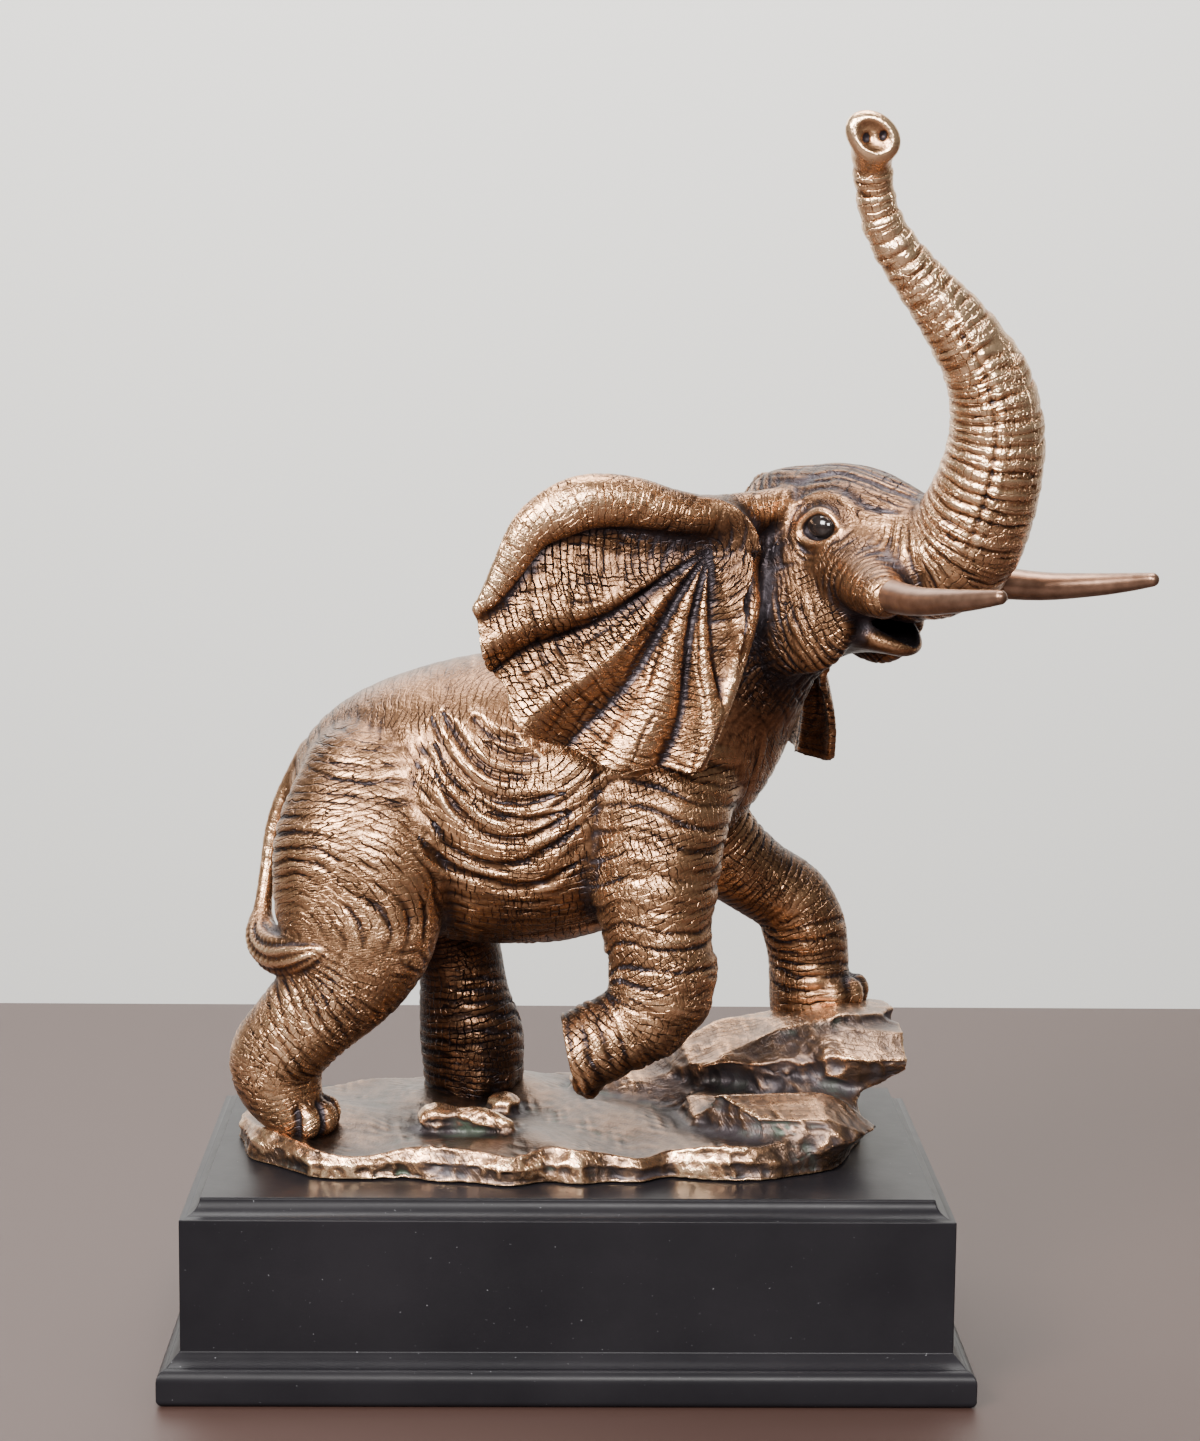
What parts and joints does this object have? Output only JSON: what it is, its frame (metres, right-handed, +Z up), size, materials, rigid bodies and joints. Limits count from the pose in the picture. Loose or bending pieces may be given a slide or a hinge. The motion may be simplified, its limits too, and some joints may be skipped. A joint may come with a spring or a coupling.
{
  "type": "elephant figurine",
  "caption": "Bronze figurine of a striding elephant with raised trunk and spread ears, on a rocky ground and a black moulded wooden plinth.",
  "frame": {"origin": "middle of the plinth's underside, on the surface that the figurine stands on", "axes": "+Z up, +X the way the elephant strides, along the plinth's long side, -Y the side that its head is turned to"},
  "size_m": [0.2909, 0.1907, 0.3757],
  "materials": {
    "bronze": "dark brown patina rubbed to copper and gold on the ridges, with traces of green in the rock",
    "black_lacquer": "satin black lacquer"
  },
  "bodies": {
    "root": {"elephant_casting": "bronze", "plinth": "black_lacquer"}
  },
  "joints": []
}
